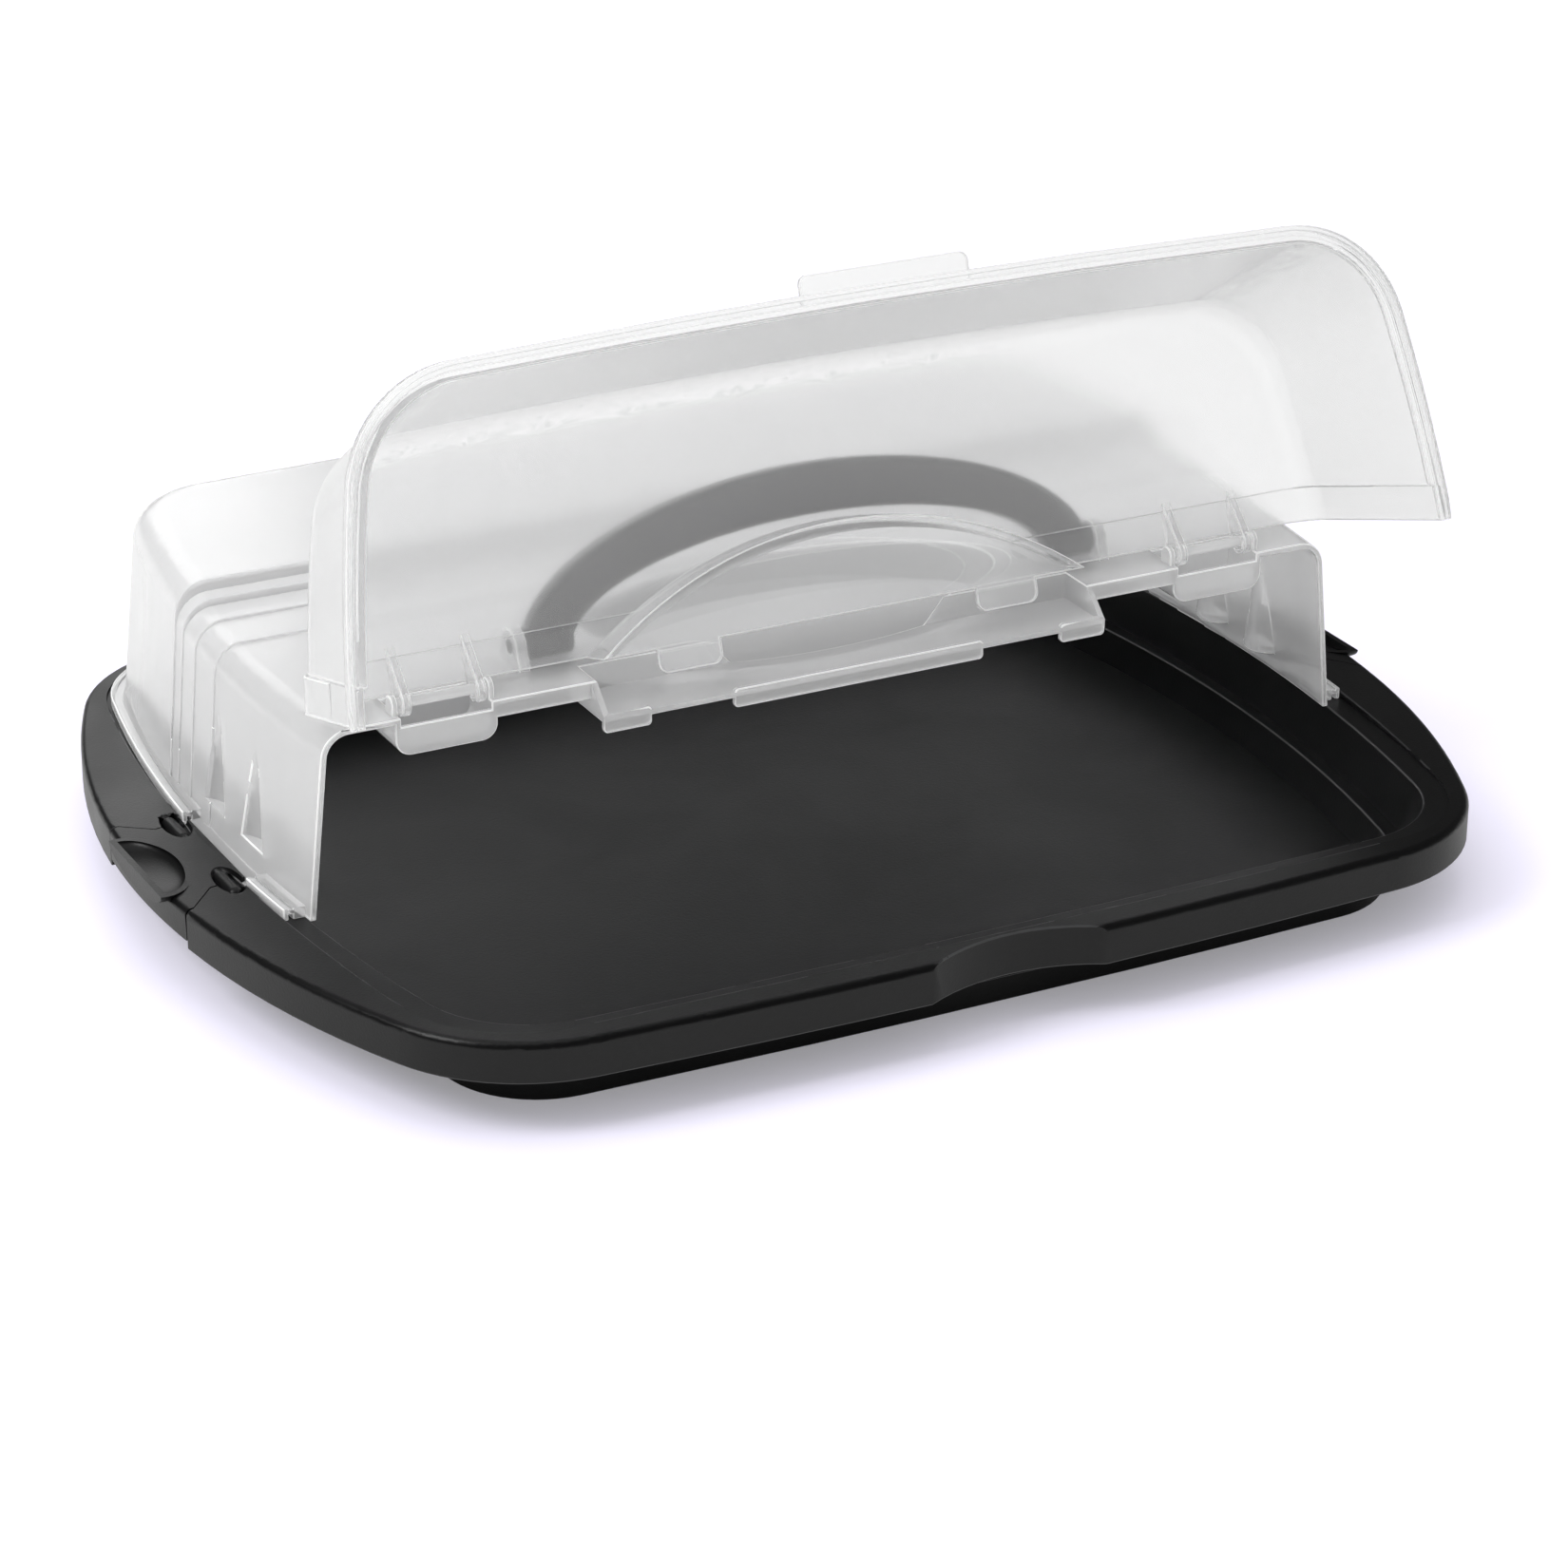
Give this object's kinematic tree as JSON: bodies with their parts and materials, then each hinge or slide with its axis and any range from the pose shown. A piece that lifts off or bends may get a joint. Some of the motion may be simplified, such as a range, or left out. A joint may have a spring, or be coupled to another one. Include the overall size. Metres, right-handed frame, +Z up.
{
  "type": "cake carrier with hinged lid",
  "caption": "Rectangular cake carrier: low base with side latch clips, frosted hood with a folding handle, and a front lid that swings up to open.",
  "frame": {"origin": "centre of the base's plan, on the surface it stands on", "axes": "+X along the length, +Y from the opening lid to the back, +Z up"},
  "size_m": [0.4546, 0.3518, 0.2268],
  "materials": {
    "base_plastic": "satin black",
    "frosted_plastic": "frosted, translucent"
  },
  "bodies": {
    "base": {"tray": "base_plastic"},
    "hood": {"rear_hood": "frosted_plastic"},
    "lid": {"front_lid": "frosted_plastic"},
    "handle": {"carry_handle": "base_plastic"},
    "clip_right": {"latch_right": "base_plastic"},
    "clip_left": {"latch_left": "base_plastic"}
  },
  "joints": [
    {"name": "hood_lift", "type": "slide", "parent": "base", "child": "hood", "axis": [0, 0, 1], "range_m": [0, 0.15]},
    {"name": "lid_hinge", "type": "hinge", "parent": "hood", "child": "lid", "pos_m": [0, -0.054, 0.098], "axis": [1, 0, 0], "range_deg": [-3, 107.8]},
    {"name": "handle_pivot", "type": "hinge", "parent": "hood", "child": "handle", "pos_m": [0, -0.034, 0.101], "axis": [1, 0, 0], "range_deg": [-74, 4]},
    {"name": "clip_right_pivot", "type": "hinge", "parent": "base", "child": "clip_right", "pos_m": [0.2044, 0, 0.0314], "axis": [0, 1, 0], "range_deg": [0, 70]},
    {"name": "clip_left_pivot", "type": "hinge", "parent": "base", "child": "clip_left", "pos_m": [-0.2044, 0, 0.0314], "axis": [0, 1, 0], "range_deg": [-70, 0]}
  ]
}
